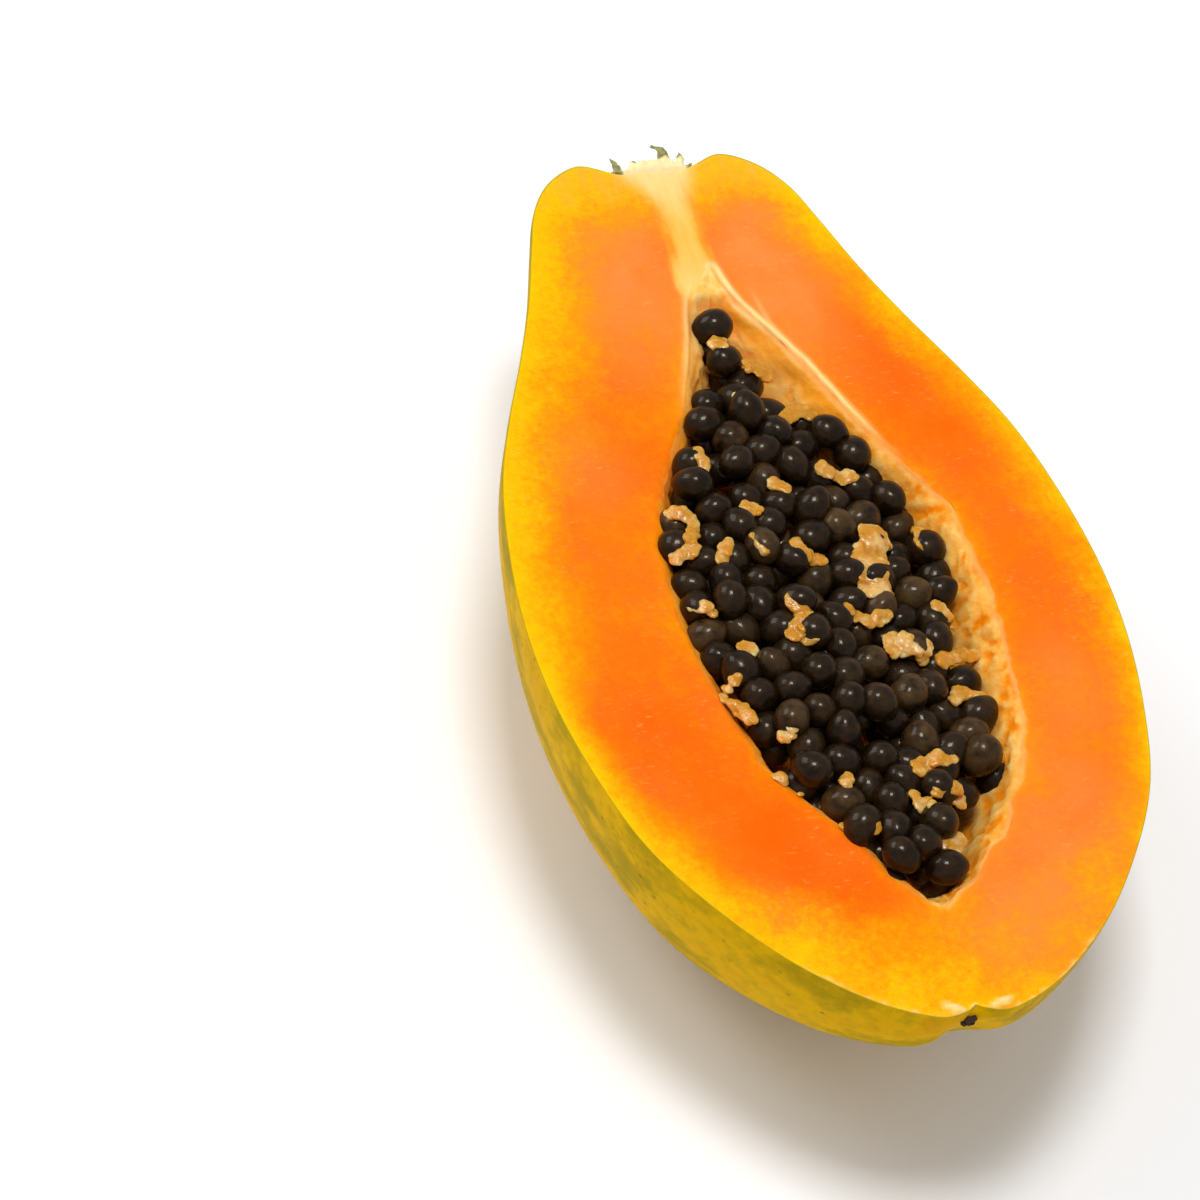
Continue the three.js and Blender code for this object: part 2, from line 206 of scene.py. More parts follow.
def buildFruit():
    rows, turns = fruit["rows"], fruit["turns"]
    points, faces, kinds = [], [], []

    def sheet(grid, kind):
        start = len(points)
        wide = len(grid[0])
        for line in grid:
            points.extend(line)
        for i in range(len(grid) - 1):
            for j in range(wide - 1):
                a = start + i * wide + j
                faces.append((a, a + 1, a + wide + 1, a + wide))
                kinds.append(kind)

    # The skin, from the right rim under the fruit to the left rim
    sheet([[skinPoint(i, math.pi * j / turns) for j in range(turns + 1)] for i in range(rows + 1)], 0)

    # The cavity's wall, with its rows closest together near the cut
    start, end = cavity["outline"][0][0], cavity["outline"][-1][0]
    steps = cavity["turns"]
    bend = [math.pi * (j / steps - 0.12 * math.sin(4 * math.pi * j / steps) / 2) for j in range(steps + 1)]
    alongs = [start + (end - start) * i / rows for i in range(rows + 1)]
    sheet([[wallPoint(along, turn) for turn in reversed(bend)] for along in alongs], 2)

    # The cut face, each side a net between the rim and the cavity's edge
    across = [eased(k / fruit["faceRows"]) * 0.5 + 0.5 * k / fruit["faceRows"] for k in range(fruit["faceRows"] + 1)]
    for turn in (0, math.pi):
        grid = []
        for i in range(rows + 1):
            rim, edge = Vector(skinPoint(i, turn)), Vector(wallPoint(alongs[i], turn))
            grid.append([tuple(rim.lerp(edge, share)) for share in across])
        sheet(grid, 1)

    mesh = bpy.data.meshes.new("papayaHalf")
    mesh.from_pydata(points, [], faces)
    mesh.attributes.new("kind", "INT", "FACE").data.foreach_set("value", kinds)
    work = bmesh.new()
    work.from_mesh(mesh)
    bmesh.ops.remove_doubles(work, verts=work.verts, dist=0.004)
    bmesh.ops.dissolve_degenerate(work, edges=work.edges, dist=0.002)
    bmesh.ops.recalc_face_normals(work, faces=work.faces)
    work.to_mesh(mesh)
    work.free()
    return mesh


def rimDistance():
    rim = [skinPoint(i, turn) for turn in (0, math.pi) for i in range(fruit["rows"] + 1)]
    tree = KDTree(len(rim))
    for i, (x, y, z) in enumerate(rim):
        tree.insert((x, y, 0), i)
    tree.balance()
    return lambda x, y: tree.find((x, y, 0))[2]


def edgeDistance():
    start, end = cavity["outline"][0][0], cavity["outline"][-1][0]
    steps = 500
    edge = []
    for i in range(steps + 1):
        along = start + (end - start) * i / steps
        for side in (-1, 1):
            edge.append((middleShift(along) + side * halfWidth(along), along))
    tree = KDTree(len(edge))
    for i, (x, y) in enumerate(edge):
        tree.insert((x, y, 0), i)
    tree.balance()
    return lambda x, y: tree.find((x, y, 0))[2]


def paleCore(across, along):
    # Pale strings from the stalk to the cavity's tip, with soft edges.
    half = 2.2 + 4.2 * (1 - eased(along, 0, 11)) + 1.2 * eased(along, 16, 25)
    middle = 1.2 - 0.9 * eased(along, 16, 26) - 1.0 * (1 - eased(along, 0, 9))
    soft = 5.0 - 2.2 * eased(along, 14, 26)
    inside = eased(half + soft / 2 - abs(across - middle), 0, soft)
    return inside * (1 - eased(along, 26, 31))


def zoneWidth(across, along):
    # The yellow to orange zone under the skin is wide on the left and at the blossom end.
    left = 15 - 3 * eased(along, 35, 90) - 5.5 * eased(along, 88, 108) + 3 * eased(along, 112, 130)
    right = 9 - 2.5 * eased(along, 85, 112)
    ends = 5 * (1 - eased(along, 6, 24)) + 20 * eased(along, 130, 153)
    return left + (right - left) * eased(across, -12, 14) + ends


# Warmer and paler patches of the flesh: (across, along, radius, strength)
redPatches = [(-20, 60, 7, 0.5), (-33, 110, 9, 0.9), (-20, 131, 10, 1.0), (-12, 139, 7, 0.8), (30, 60, 7, 0.9),
              (22, 37, 6, 0.6), (34, 88, 8, 0.4), (26, 48, 6, 0.5)]
peachPatches = [(-10, 22, 9, 0.85), (-13, 34, 7, 0.5), (12, 18, 8, 0.95), (14, 32, 8, 0.8), (28, 130, 8, 0.6),
                (35, 110, 6, 0.6), (20, 142, 8, 0.6), (10, 150, 8, 0.6), (-28, 60, 6, 0.35), (-24, 147, 6, 0.35)]


def patch(places, across, along):
    total = 0
    for x, y, radius, strength in places:
        far = ((across - x) ** 2 + ((along - y) * 0.7) ** 2) / radius ** 2
        total += strength * math.exp(-far)
    return min(1, total)


def shapeFruit(mesh):
    # Sets how each point of the flesh is coloured, then gives it its fine form.
    toRim, toEdge = rimDistance(), edgeDistance()
    kindOf = {}
    kinds = mesh.attributes["kind"].data
    for face in mesh.polygons:
        for v in face.vertices:
            kindOf.setdefault(v, set()).add(kinds[face.index].value)
    names = ("ripeness", "pale", "cream", "lining", "clump", "fold", "red", "peach", "stemward", "skinLine")
    marks = {name: [0.0] * len(mesh.vertices) for name in names}
    start, end = cavity["outline"][0][0], cavity["outline"][-1][0]
    rounding, width = fruit["edgeRound"], fruit["edgeWidth"]
    for vertex in mesh.vertices:
        v, found = vertex.index, kindOf.get(vertex.index, set())
        across, along, height = vertex.co
        marks["stemward"][v] = 1 - eased(along, 0, 70)
        if found == {0}:
            continue
        gapRim, gapEdge = toRim(across, along), toEdge(across, along)
        inWall = 2 in found
        depth = -height if inWall else 0
        side = across - middleShift(along)
        marks["skinLine"][v] = 1 if 0 in found and math.hypot(across, along) > 8 else 0
        # Flesh is yellow under the skin, and a little less ripe along the cavity
        zone = zoneWidth(across, along) * (1 + 0.2 * rough(across, along, 3, 13, 3))
        glow = 0.36 + 0.25 * (1 - eased(along, 40, 56)) * (side < 0)
        atRim = 0.08 + 0.2 * eased(across, 2, 20) * eased(along, 8, 30) + 0.16 * eased(along, 126, 150)
        ripe = atRim + (1 - atRim) * min(1, gapRim / zone)
        ripe *= 1 - glow * math.exp(-gapEdge / 2.8) * eased(along, 24, 32)
        marks["ripeness"][v] = ripe
        marks["red"][v] = patch(redPatches, across, along)
        marks["peach"][v] = patch(peachPatches, across, along)
        core = paleCore(across, along) if not inWall else 0
        # Pale strings: a ridge on the right edge that forks near the cavity's tip, a thin line on the left edge
        string = fork = 0
        if side > -0.5 and along > start - 2:
            wander = 0.75 + 0.3 * rough(across, along, 9, 5, 2)
            fade = 1 - eased(along, 50, 66)
            string = math.exp(-((gapEdge - wander) / 0.6) ** 2) * fade
            offset = 1.2 + 2.6 * (1 - eased(along, 27, 37))
            fork = math.exp(-((gapEdge - offset) / 0.45) ** 2) * (1 - eased(along, 36, 41)) * eased(along, 26, 34)
            string = max(string, 0.3 * fork)
        elif 26 < along < 54:
            string = 0.6 * math.exp(-((gapEdge - 1.0) / 0.6) ** 2) * (1 - eased(along, 40, 54))
        thin = 0.3 * (1 - eased(gapEdge, 0.1, 0.6 + 0.5 * rough(across, along, 5, 3, 2))) * eased(along, 26, 32)
        thin *= 1 - 0.7 * (side < 0) * eased(along, 44, 60)
        marks["pale"][v] = max(core, 0.35 * (1 - eased(along, 3, 12)) * (1 - inWall))
        marks["cream"][v] = max(string, thin)
        # The cut's lower edge is frayed, and curls up beside the notch
        frayed = eased(along, 150, 158) * (1 - eased(gapRim, 0.15, 0.8 + 0.5 * rough(across, along, 7, 1.6, 3)))
        frayed *= 0.08 + 0.92 * eased(rough(across, along, 11, 1.7, 2), 0.0, 0.35)
        curl = 0
        for x, y, long, wide, turn in fruit["curls"]:
            u = (across - x) * math.cos(turn) + (along - y) * math.sin(turn)
            w = (along - y) * math.cos(turn) - (across - x) * math.sin(turn)
            curl = max(curl, math.exp(-(u / long) ** 2 - (w / wide) ** 2))
        nearStalk = core * (0.85 * (1 - eased(along, 3, 17)) + 0.4 * eased(along, 18, 28))
        marks["cream"][v] = max(marks["cream"][v], 0.85 * frayed, eased(curl, 0.25, 0.8), nearStalk)
        clump = clumps(across, along, height) if inWall else 0
        fold = 0
        if inWall:
            bare = 0.75 * (1 - eased(side, -6, 0)) * eased(along, 36, 60)      # ripe flesh shows on the left wall
            marks["lining"][v] = eased(depth, 0.0, 0.9) * (1 - bare)
            marks["cream"][v] *= 1 - eased(depth, 0.2, 1.2)
            # A smooth orange fold under the pale ridge
            fold = eased(depth, 0.3, 1.2) * (1 - eased(depth, 2.6, 4.4)) * (side > 0) * (1 - eased(along, 50, 68))
            marks["clump"][v], marks["fold"][v] = clump, fold
        # Form: the edge is torn where the lining starts, and rounded
        half = halfWidth(along) if start < along < end else 0.1
        soft = min(1, half / 3)
        tear = fruit["tear"] * soft * math.exp(-(depth if inWall else gapEdge) / 2.2) * (0.65 + 0.35 * (side > 0))
        tear *= eased(along, 44, 64)
        torn = tear * (rough(across, along, 31, 6.5, 2) + 0.25 * rough(across, along, 37, 1.8, 2))
        fallFace = max(0, 1 - gapEdge / width) ** 2 if not inWall else max(0, 1 - depth / width) ** 2
        down = rounding * soft * fallFace
        shift = 0.8 * rounding * soft * fallFace * (1 if side > 0 else -1)
        lift = 0
        inward = Vector((0, 0, 0))
        web = 1 - eased(along + 0.9 * rough(across, along, 41, 1.5, 2), cavity["webEnd"] - 2.4, cavity["webEnd"])
        down *= 1 - web
        shift *= 1 - web
        if inWall and web > 0:
            level = eased(gapEdge, 0.1, 1.6) * (0.3 * rough(across, along, 45, 1.4, 2) - 0.3) - 0.04
            height += web * (level - height)
            marks["lining"][v] *= 1 - web
            marks["pale"][v] = web
            marks["cream"][v] = max(marks["cream"][v], 0.6 * web * eased(rough(across, along, 43, 1.2, 2), -0.3, 0.3))
        if inWall:
            rise = (1 - web) * cavity["clumpHeight"] * clump * eased(depth, 0.2, 2.2) * soft * (1 - 0.6 * fold)
            inward = Vector((-side, 0, max(0.1, -height) * 0.8)).normalized() * rise
        else:
            wave = fruit["faceWave"] * rough(across, along, 0, 22, 2) * eased(gapRim, 0, 5) * eased(gapEdge, 0, 3)
            grain = 0.05 * rough(across, along, 5, 2.2, 2) * eased(gapRim, 0, 1.2)
            lift = wave + grain - 0.16 * core * eased(gapRim, 0, 3)
            lift += fruit["ridge"] * string * min(1, soft + 0.3)
            lift += 0.3 * frayed + 0.75 * curl
        if 0 in found:
            vertex.co = Vector((across, along, height + 0.6 * curl))
            continue
        vertex.co = Vector((across + shift + torn, along + 0.5 * torn, height - down + lift)) + inward
    for name, values in marks.items():
        mesh.attributes.new(name, "FLOAT", "POINT").data.foreach_set("value", values)
    for vertex in mesh.vertices:
        vertex.co = inRow(vertex.co)
    mesh.update()


# Materials

def linear(hexColour):
    # sRGB hex to the linear colour that the shader takes.
    parts = [int(hexColour[i:i + 2], 16) / 255 for i in (0, 2, 4)]
    return [c / 12.92 if c <= 0.04045 else ((c + 0.055) / 1.055) ** 2.4 for c in parts] + [1.0]


def addNode(tree, kind, settings=None, stops=None, **links):
    # Adds a node. A link is a socket to join or a value to set, named after the input, with _ for a space.
    made = tree.nodes.new("ShaderNode" + kind)
    for name, value in (settings or {}).items():
        setattr(made, name, value)
    if stops:
        ramp = made.color_ramp
        while len(ramp.elements) < len(stops):
            ramp.elements.new(1)
        for element, (place, colour) in zip(ramp.elements, stops):
            element.position = place
            element.color = linear(colour) if isinstance(colour, str) else [colour] * 3 + [1]
    for name, value in links.items():
        where = int(name[1:]) if name[0] == "n" and name[1:].isdigit() else name.replace("_", " ")
        if isinstance(value, bpy.types.NodeSocket):
            tree.links.new(value, made.inputs[where])
        else:
            made.inputs[where].default_value = value
    return made


def newMaterial(name):
    material = bpy.data.materials.new(name)
    material.use_nodes = True
    tree = material.node_tree
    shader = tree.nodes["Principled BSDF"]
    place = addNode(tree, "TexCoord").outputs["Object"]
    inMm = addNode(tree, "VectorMath", {"operation": "SCALE"}, Vector=place, Scale=1 / mm).outputs[0]
    return material, tree, shader, inMm


def cloud(tree, place, size, detail=3, roughness=0.55, stretch=None):
    # Noise with lumps of a real size in millimetres.
    if stretch:
        place = addNode(tree, "VectorMath", {"operation": "MULTIPLY"}, n0=place, n1=stretch).outputs[0]
    made = addNode(tree, "TexNoise", Vector=place, Scale=1 / size, Detail=detail, Roughness=roughness)
    return made.outputs["Fac"]


def mixed(tree, share, first, second, kind="MIX"):
    made = addNode(tree, "MixRGB", {"blend_type": kind}, Fac=share, Color1=first, Color2=second)
    return made.outputs[0]


def sums(tree, operation, first, second, clamp=False):
    return addNode(tree, "Math", {"operation": operation, "use_clamp": clamp}, n0=first, n1=second).outputs[0]


def ranged(tree, value, low, high, toLow=0.0, toHigh=1.0):
    made = addNode(tree, "MapRange", Value=value, From_Min=low, From_Max=high, To_Min=toLow, To_Max=toHigh)
    return made.outputs[0]


def mark(tree, name):
    return addNode(tree, "Attribute", {"attribute_name": name}).outputs["Fac"]


# Ripe papaya flesh, cut with a knife: moist, softly translucent, yellow under the skin and salmon inside
fleshLook = {
    "rim": "FDC203", "nearRim": "FDB804", "middle": "FC9A02", "inside": "FC8804", "deep": "FB760C",
    "coral": "FA6C22", "red": "FA6002", "peach": "FD8E44", "halo": "FDAA30", "core": "FBC05A", "cream": "FFD890",
    # upper: painted light, a lighter lining colour for the shaded narrow top of the cavity
    "lining": "FFAE44", "hollow": "FF8E08", "tip": "FFC66C", "upper": "FFC078", "fold": "FF9E12", "skinLine": "8E8A10",
    "grain": 0.9,       # mm, the cut cells
    "roughness": 0.42, "specular": 0.05,
}


def cutFlesh():
    look = fleshLook
    material, tree, shader, place = newMaterial("papayaFleshKnifeCut")
    drift = ranged(tree, cloud(tree, place, 8, 6, 0.62), 0.25, 0.75, -0.2, 0.2)
    grain = ranged(tree, cloud(tree, place, 1.3, 5, 0.7), 0.32, 0.68, -0.13, 0.13)
    ripe = sums(tree, "ADD", sums(tree, "ADD", mark(tree, "ripeness"), drift), grain, True)
    base = addNode(tree, "ValToRGB", Fac=ripe, stops=[
        (0.0, look["rim"]), (0.2, look["nearRim"]), (0.5, look["middle"]), (0.74, look["inside"]),
        (1.0, look["deep"])]).outputs[0]
    # Coral, red and peach clouds in the ripe zone
    coral = sums(tree, "MULTIPLY", ranged(tree, cloud(tree, place, 13, 5), 0.46, 0.66), ranged(tree, ripe, 0.55, 0.95))
    base = mixed(tree, sums(tree, "MULTIPLY", coral, 0.55), base, linear(look["coral"]))
    for name, size, share in (("red", 10, 0.85), ("peach", 8, 0.9)):
        patchy = sums(tree, "MULTIPLY", mark(tree, name), ranged(tree, cloud(tree, place, size, 5), 0.3, 0.58, 0.35))
        patchy = sums(tree, "MULTIPLY", patchy, ranged(tree, ripe, 0.25, 0.75))
        base = mixed(tree, sums(tree, "MULTIPLY", patchy, share), base, linear(look[name]))
    # Broken cells catch the light: painted highlights, as short pale strokes
    strokes = cloud(tree, place, look["grain"], 2, 0.6, (0.55, 1.3, 1.0))
    strokes = sums(tree, "MULTIPLY", ranged(tree, strokes, 0.6, 0.74), ranged(tree, cloud(tree, place, 13, 3), 0.42, 0.62))
    base = mixed(tree, sums(tree, "MULTIPLY", strokes, 0.28), base, linear(look["core"]))
    # Pale strings: a yellow halo, then the core's own colour
    streak = cloud(tree, place, 2.4, 5, 0.65, (1.5, 0.3, 1.0))
    pale = sums(tree, "ADD", mark(tree, "pale"), ranged(tree, streak, 0.3, 0.7, -0.26, 0.22), True)
    pale = sums(tree, "MULTIPLY", pale, ranged(tree, mark(tree, "pale"), 0.0, 0.12))
    base = mixed(tree, ranged(tree, pale, 0.02, 0.6), base, linear(look["halo"]))
    base = mixed(tree, ranged(tree, pale, 0.35, 1.0), base, linear(look["core"]))
    # The cavity's lining: peach clumps over orange hollows
    crumbs = ranged(tree, cloud(tree, place, 1.6, 5, 0.65), 0.3, 0.7, -0.25, 0.25)
    clump = sums(tree, "ADD", mark(tree, "clump"), crumbs, True)
    lining = addNode(tree, "ValToRGB", Fac=clump, stops=[
        (0.12, look["hollow"]), (0.42, look["lining"]), (0.85, look["tip"])]).outputs[0]
    # Painted light: towards the stem end the lining is painted lighter, standing in for light in the narrow, shaded
    # top of the cavity.
    upper = ranged(tree, mark(tree, "stemward"), 0.1, 0.6, 0.0, 0.4)
    lining = mixed(tree, upper, lining, linear(look["upper"]))
    lining = mixed(tree, sums(tree, "MULTIPLY", mark(tree, "fold"), 0.7), lining, linear(look["fold"]))
    base = mixed(tree, mark(tree, "lining"), base, lining)
    threads = sums(tree, "MULTIPLY", mark(tree, "cream"), ranged(tree, streak, 0.25, 0.6, 0.7, 1.1), True)
    base = mixed(tree, threads, base, linear(look["cream"]))
    base = mixed(tree, ranged(tree, mark(tree, "skinLine"), 0.45, 0.95), base, linear(look["skinLine"]))
    tree.links.new(base, shader.inputs["Base Color"])
    shader.inputs["Subsurface Weight"].default_value = 0.45
    shader.inputs["Subsurface Radius"].default_value = (1.0, 0.5, 0.1)
    shader.inputs["Subsurface Scale"].default_value = 0.0035
    shader.inputs["IOR"].default_value = 1.38
    shader.inputs["Specular IOR Level"].default_value = look["specular"]
    wet = ranged(tree, cloud(tree, place, 6, 3), 0.3, 0.7, look["roughness"] - 0.1, look["roughness"] + 0.12)
    tree.links.new(wet, shader.inputs["Roughness"])
    fine = cloud(tree, place, look["grain"], 4, 0.65, (0.7, 1.2, 1.0))
    broad = cloud(tree, place, 4.5, 3, 0.5)
    height = sums(tree, "ADD", fine, sums(tree, "MULTIPLY", broad, 1.6))
    bump = addNode(tree, "Bump", Height=height, Strength=0.4, Distance=0.0004)
    tree.links.new(bump.outputs[0], shader.inputs["Normal"])
    return material


# Papaya skin as it grew: waxy, ripening from green to yellow in streaks, with small dark dots
skinLook = {
    "yellow": "DEAC00", "deepYellow": "D69A00", "olive": "B09006", "green": "94860A", "dot": "5E580C",
    "dotSpacing": 3.6, "streak": 15, "roughness": 0.5, "specular": 0.015,
}


def waxySkin():
    look = skinLook
    material, tree, shader, place = newMaterial("papayaSkinWaxy")
    streak = cloud(tree, place, look["streak"], 6, 0.66, (1.3, 0.75, 1.3))
    base = addNode(tree, "ValToRGB", Fac=streak, stops=[
        (0.3, look["green"]), (0.42, look["olive"]), (0.54, look["yellow"]), (0.72, look["deepYellow"])]).outputs[0]
    mottle = cloud(tree, place, 2.8, 6, 0.7)
    base = mixed(tree, ranged(tree, mottle, 0.46, 0.68, 0.0, 0.6), base, linear(look["olive"]))
    towardsStem = sums(tree, "MULTIPLY", mark(tree, "stemward"), 0.3)
    base = mixed(tree, towardsStem, base, linear(look["green"]))
    dots = addNode(tree, "TexVoronoi", {"feature": "F1"}, Vector=place, Scale=1 / look["dotSpacing"], Randomness=1.0)
    some = ranged(tree, cloud(tree, place, 30, 3), 0.42, 0.56)
    dot = sums(tree, "MULTIPLY", ranged(tree, dots.outputs["Distance"], 0.05, 0.13, 1.0, 0.0), some)
    base = mixed(tree, sums(tree, "MULTIPLY", dot, 0.65), base, linear(look["dot"]))
    tree.links.new(base, shader.inputs["Base Color"])
    shader.inputs["Subsurface Weight"].default_value = 0.06
    shader.inputs["Subsurface Radius"].default_value = (1.0, 0.7, 0.05)
    shader.inputs["Subsurface Scale"].default_value = 0.002
    shader.inputs["Roughness"].default_value = look["roughness"]
    shader.inputs["Specular IOR Level"].default_value = look["specular"]
    shader.inputs["Specular Tint"].default_value = (1.0, 0.82, 0.3, 1.0)     # the wax lies over yellow skin
    height = sums(tree, "ADD", cloud(tree, place, 7, 3), sums(tree, "MULTIPLY", cloud(tree, place, 0.9, 3), 0.25))
    bump = addNode(tree, "Bump", Height=height, Strength=0.25, Distance=0.0006)
    tree.links.new(bump.outputs[0], shader.inputs["Normal"])
    return material


# Papaya seeds in their wet gelatinous coats: dark brown-black, glossy, some coats thicker and browner
seedLook = {"dark": "140C05", "brown": "2C1C0C", "coat": "5A4224", "roughness": 0.3, "specular": 0.16}


def wetSeed():
    look = seedLook
    material, tree, shader, place = newMaterial("papayaSeedWetCoat")
    coat = sums(tree, "MULTIPLY", mark(tree, "coat"), ranged(tree, cloud(tree, place, 2.6, 3), 0.35, 0.65))
    base = mixed(tree, ranged(tree, cloud(tree, place, 1.6, 4), 0.38, 0.68), linear(look["dark"]), linear(look["brown"]))
    base = mixed(tree, sums(tree, "MULTIPLY", coat, 0.7), base, linear(look["coat"]))
    tree.links.new(base, shader.inputs["Base Color"])
    dull = ranged(tree, cloud(tree, place, 1.2, 3), 0.3, 0.7, look["roughness"] - 0.06, look["roughness"] + 0.14)
    tree.links.new(dull, shader.inputs["Roughness"])
    shader.inputs["IOR"].default_value = 1.42
    shader.inputs["Specular IOR Level"].default_value = look["specular"]
    shader.inputs["Specular Tint"].default_value = (1.0, 0.78, 0.5, 1.0)     # through a brownish coat
    shader.inputs["Coat Weight"].default_value = 0.25
    shader.inputs["Coat Roughness"].default_value = 0.09
    height = sums(tree, "ADD", cloud(tree, place, 1.1, 3), cloud(tree, place, 3.0, 2))
    bump = addNode(tree, "Bump", Height=height, Strength=0.35, Distance=0.0004)
    tree.links.new(bump.outputs[0], shader.inputs["Normal"])
    return material


# Soft tissue torn loose with the seeds: translucent, from cream to yellow-orange where it is wet through
pulpLook = {"cream": "E4B874", "peach": "D29638", "wet": "C8860A", "roughness": 0.24, "specular": 0.5}


def tornTissue():
    look = pulpLook
    material, tree, shader, place = newMaterial("papayaPulpTorn")
    soaked = sums(tree, "ADD", mark(tree, "soaked"), ranged(tree, cloud(tree, place, 2.4, 4), 0.3, 0.7, -0.4, 1.0), True)
    base = addNode(tree, "ValToRGB", Fac=soaked, stops=[
        (0.05, look["cream"]), (0.45, look["peach"]), (0.9, look["wet"])]).outputs[0]
    tree.links.new(base, shader.inputs["Base Color"])
    shader.inputs["Subsurface Weight"].default_value = 0.8
    shader.inputs["Subsurface Radius"].default_value = (1.0, 0.5, 0.12)
    shader.inputs["Subsurface Scale"].default_value = 0.002
    shader.inputs["Roughness"].default_value = look["roughness"]
    shader.inputs["Specular IOR Level"].default_value = look["specular"]
    bump = addNode(tree, "Bump", Height=cloud(tree, place, 0.9, 4), Strength=0.4, Distance=0.0003)
    tree.links.new(bump.outputs[0], shader.inputs["Normal"])
    return material


# The stalk's torn fibrous stub: pale and starchy inside, drying grey-green at its scales
stalkLook = {"pale": "FFEDBE", "fibre": "F8DC98", "green": "A6A266", "dry": "77714A", "roughness": 0.75}


def tornStalk():
    look = stalkLook
    material, tree, shader, place = newMaterial("papayaStalkTorn")
    fibre = cloud(tree, place, 0.9, 4, 0.6, (1.4, 0.3, 1.4))
    base = mixed(tree, fibre, linear(look["pale"]), linear(look["fibre"]))
    outer = sums(tree, "ADD", mark(tree, "outer"), ranged(tree, cloud(tree, place, 1.2, 3), 0.3, 0.7, -0.25, 0.25), True)
    dry = mixed(tree, ranged(tree, cloud(tree, place, 0.8, 3), 0.35, 0.65), linear(look["green"]), linear(look["dry"]))
    base = mixed(tree, ranged(tree, outer, 0.35, 0.75), base, dry)
    tree.links.new(base, shader.inputs["Base Color"])
    shader.inputs["Roughness"].default_value = look["roughness"]
    shader.inputs["Specular IOR Level"].default_value = 0.2
    shader.inputs["Subsurface Weight"].default_value = 0.15
    shader.inputs["Subsurface Radius"].default_value = (1.0, 0.8, 0.4)
    shader.inputs["Subsurface Scale"].default_value = 0.001
    bump = addNode(tree, "Bump", Height=fibre, Strength=0.6, Distance=0.0003)
    tree.links.new(bump.outputs[0], shader.inputs["Normal"])
    return material


# The dried flower scar: brittle, nearly black
def driedScar():
    material, tree, shader, place = newMaterial("papayaFlowerScarDried")
    base = mixed(tree, cloud(tree, place, 0.5, 3), linear("180A05"), linear("4A2412"))
    tree.links.new(base, shader.inputs["Base Color"])
    shader.inputs["Roughness"].default_value = 0.85
    bump = addNode(tree, "Bump", Height=cloud(tree, place, 0.3, 3), Strength=0.7, Distance=0.0002)
    tree.links.new(bump.outputs[0], shader.inputs["Normal"])
    return material


# Pieces

def addPiece(name, mesh, materials, slot, *nodes, angle=60):
    piece = bpy.data.objects.new(name, mesh)
    bpy.context.scene.collection.objects.link(piece)
    for material in materials:
        mesh.materials.append(material)
    mesh.polygons.foreach_set("use_smooth", [True] * len(mesh.polygons))
    mesh.set_sharp_from_angle(angle=math.radians(angle))
    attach(piece, "root")
    if nodes:
        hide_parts(*nodes)
    return piece


flesh, skin = cutFlesh(), waxySkin()
fruitMesh = buildFruit()
shapeFruit(fruitMesh)
kinds = fruitMesh.attributes["kind"].data
fruitPiece = addPiece("papayaHalf", fruitMesh, [skin, flesh], "fruit", "fruit_half")
for face in fruitMesh.polygons:
    face.material_index = 0 if kinds[face.index].value == 0 else 1
print("papaya: skin, cut face and cavity,", len(fruitMesh.polygons), "faces")


# Seeds: the heap's top layer lies where the solid's seeds do, with a second layer under it

heap = {
    "outline": [(33, -0.6, 0.0), (38, -1.8, 0.5), (43, -3.0, 1.4), (48, -4.8, 5.0),
                (54, -7.8, 9.6), (60, -11.8, 15.2), (66, -15.4, 17.8), (73, -18.2, 20.0),
                (80, -19.9, 22.4), (86, -20.2, 22.0), (92, -19.2, 18.6), (99, -18.0, 18.8),
                (107, -15.8, 20.2), (114, -14.4, 20.0), (120, -12.2, 16.2), (127, -8.8, 9.8),
                (134, -4.8, 5.2), (142, 1.0, 3.6)],      # (along, left, right)
    "middle": 88, "top": 0.3, "lean": 0.15, "crown": 0.0055, "endFall": 2.0, "fallLength": 60,
    "spacing": 5.4, "rows": 5.0, "sparser": 0.5, "sparseLength": 22,
    "jitter": 3.4, "lift": 1.0, "sink": 3.0, "gap": 5.1, "rounds": 8, "draw": 365,
}
seedSize = {
    "across": 5.7, "long": 6.6, "smallest": 0.92, "range": 0.16, "tilt": 0.9,
    "rings": 15, "segments": 22,
}
heapLeft = lookUp([(along, left) for along, left, right in heap["outline"]])
heapRight = lookUp([(along, right) for along, left, right in heap["outline"]])
heapStart, heapEnd = heap["outline"][0][0], heap["outline"][-1][0]


def heapHeight(across, along):
    x = across - middleShift(along)
    towardsEnd = (along - heap["middle"]) / heap["fallLength"]
    return heap["top"] - heap["lean"] * x - heap["crown"] * x * x - heap["endFall"] * towardsEnd ** 4


def heldInHeap(seed):
    seed["along"] = min(heapEnd, max(heapStart, seed["along"]))
    seed["across"] = min(heapRight(seed["along"]), max(heapLeft(seed["along"]), seed["across"]))
    seed["height"] = heapHeight(seed["across"], seed["along"]) + seed["lift"]


